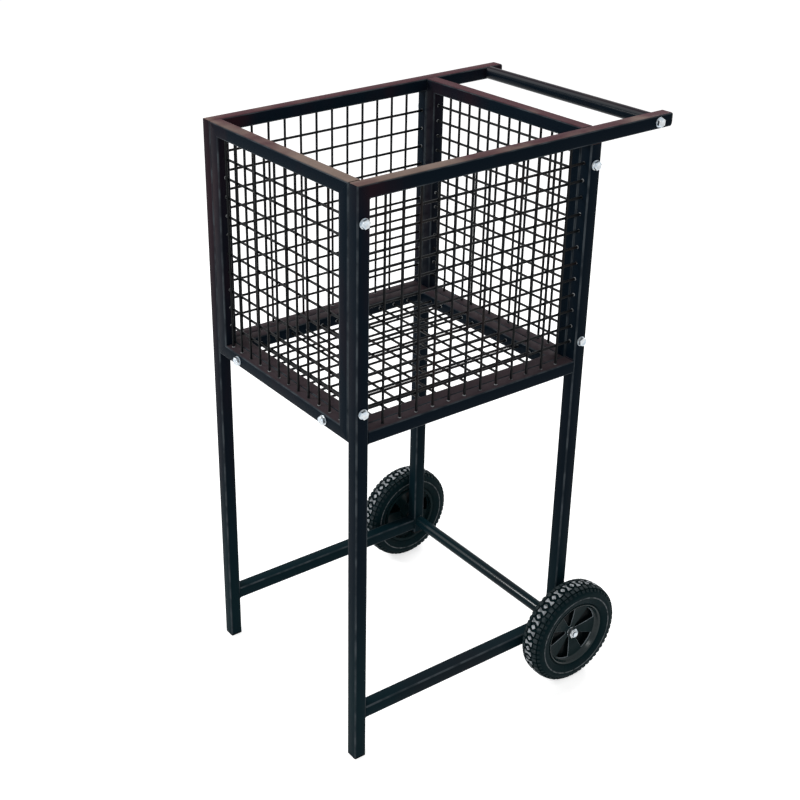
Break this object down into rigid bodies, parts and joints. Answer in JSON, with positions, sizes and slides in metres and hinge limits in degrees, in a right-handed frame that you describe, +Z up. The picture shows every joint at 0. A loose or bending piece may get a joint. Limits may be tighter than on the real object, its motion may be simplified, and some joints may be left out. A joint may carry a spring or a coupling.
{
  "type": "ball cart",
  "caption": "Waist-high ball cart: open wire-mesh basket in a bolted square-tube frame, push bar across two rail ends, two wheels on a through axle at the rear.",
  "frame": {"origin": "on the floor, in the middle of the cart's overall box", "axes": "+Z up, -Y to the front, +Y to the push bar and the wheels, +X to the right as seen by someone who stands in front of the cart and faces it; left and right in the nodes' names are meant the same way"},
  "size_m": [0.521, 0.614, 1],
  "materials": {
    "powder_coat": "semi-gloss black powder coat",
    "mesh_wire": "powder-coated welded wire",
    "zinc": "bright zinc plate",
    "tyre": "matt black rubber with block tread",
    "hub_plastic": "satin moulded black plastic",
    "bush_plastic": "plain moulded plastic",
    "plug_plastic": "matt moulded plastic"
  },
  "bodies": {
    "cart": {"left_front_leg": "powder_coat", "left_rear_leg": "powder_coat", "left_top_rail": "powder_coat", "left_basket_rail": "powder_coat", "left_lower_rail": "powder_coat", "left_side_mesh": "mesh_wire", "right_front_leg": "powder_coat", "right_rear_leg": "powder_coat", "right_top_rail": "powder_coat", "right_basket_rail": "powder_coat", "right_lower_rail": "powder_coat", "right_side_mesh": "mesh_wire", "front_panel_left_stile": "powder_coat", "front_panel_right_stile": "powder_coat", "front_panel_top_rail": "powder_coat", "front_panel_bottom_rail": "powder_coat", "front_panel_mesh": "mesh_wire", "rear_panel_left_stile": "powder_coat", "rear_panel_right_stile": "powder_coat", "rear_panel_top_rail": "powder_coat", "rear_panel_bottom_rail": "powder_coat", "rear_panel_mesh": "mesh_wire", "tray_front_tube": "powder_coat", "tray_rear_tube": "powder_coat", "tray_left_tube": "powder_coat", "tray_right_tube": "powder_coat", "tray_mesh": "mesh_wire", "front_left_upper_panel_bolt": "zinc", "front_left_lower_panel_bolt": "zinc", "rear_left_upper_panel_bolt": "zinc", "rear_left_lower_panel_bolt": "zinc", "left_handle_bolt": "zinc", "front_right_upper_panel_bolt": "zinc", "front_right_lower_panel_bolt": "zinc", "rear_right_upper_panel_bolt": "zinc", "rear_right_lower_panel_bolt": "zinc", "right_handle_bolt": "zinc", "front_left_tray_bolt": "zinc", "front_right_tray_bolt": "zinc", "rear_left_tray_bolt": "zinc", "rear_right_tray_bolt": "zinc", "handle_bar": "powder_coat", "cross_tube": "powder_coat", "axle_rod": "zinc", "left_axle_washer": "zinc", "left_axle_nut": "zinc", "right_axle_washer": "zinc", "right_axle_nut": "zinc", "left_front_foot_plug": "plug_plastic", "left_rear_leg_plug": "plug_plastic", "left_rail_end_plug": "plug_plastic", "right_front_foot_plug": "plug_plastic", "right_rear_leg_plug": "plug_plastic", "right_rail_end_plug": "plug_plastic"},
    "left_wheel": {"left_tyre": "tyre", "left_hub": "hub_plastic", "left_wheel_bush": "bush_plastic"},
    "right_wheel": {"right_tyre": "tyre", "right_hub": "hub_plastic", "right_wheel_bush": "bush_plastic"}
  },
  "joints": [
    {"name": "left_wheel_spin", "type": "hinge", "parent": "cart", "child": "left_wheel", "pos_m": [-0.2375, 0.14395, 0.095], "axis": [1, 0, 0], "continuous": true},
    {"name": "right_wheel_spin", "type": "hinge", "parent": "cart", "child": "right_wheel", "pos_m": [0.2375, 0.14395, 0.095], "axis": [1, 0, 0], "continuous": true}
  ]
}
